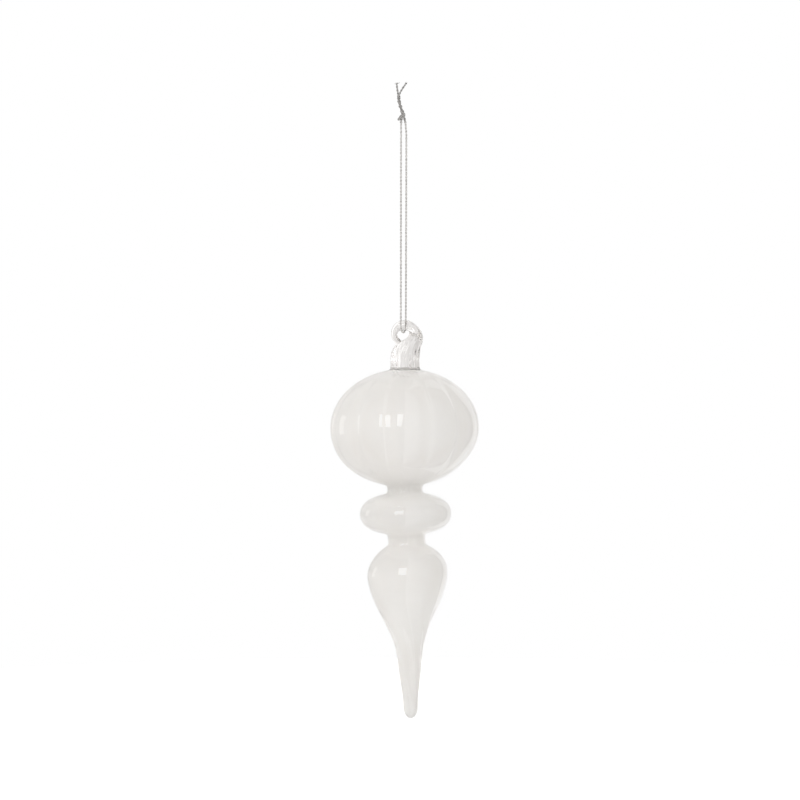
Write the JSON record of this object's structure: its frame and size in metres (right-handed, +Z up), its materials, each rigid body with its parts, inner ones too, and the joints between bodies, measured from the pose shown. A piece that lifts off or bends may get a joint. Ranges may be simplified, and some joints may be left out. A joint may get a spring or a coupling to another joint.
{
  "type": "icicle hanging ornament",
  "caption": "Mouth-blown white cased glass ornament with a flattened ball, a disc bead and an icicle drop, a clear glass hook and a hanging loop of silver cord.",
  "frame": {"origin": "hanging point: inside the top of the cord loop, just under its knot", "axes": "+Z up along the cord, +X to the right and +Y to the back, looking at the front of the hook's eye"},
  "size_m": [0.0594, 0.0594, 0.2547],
  "materials": {
    "clear_glass": "clear polished blown glass with soft ribs",
    "opal_glass": "white opal glass, translucent",
    "hook_glass": "clear glass drawn hot, with fine streaks along it",
    "silver_cord": "two-ply twisted metallic cord, frayed at its ends"
  },
  "bodies": {
    "knot": {"cord_knot": "silver_cord", "cord_tail_left": "silver_cord", "cord_tail_right": "silver_cord"},
    "loop": {"cord_loop": "silver_cord"},
    "glass": {"clear_ball": "clear_glass", "clear_bead": "clear_glass", "clear_icicle": "clear_glass", "opal_lining": "opal_glass", "glass_hook": "hook_glass"}
  },
  "joints": [
    {"name": "cord_swing", "type": "hinge", "parent": "knot", "child": "loop", "pos_m": [0, 0, 0], "axis": [0, 1, 0], "range_deg": [-30, 30]},
    {"name": "glass_rock", "type": "hinge", "parent": "loop", "child": "glass", "pos_m": [0, 0, -0.08225], "axis": [1, 0, 0], "range_deg": [-60, 60]}
  ]
}
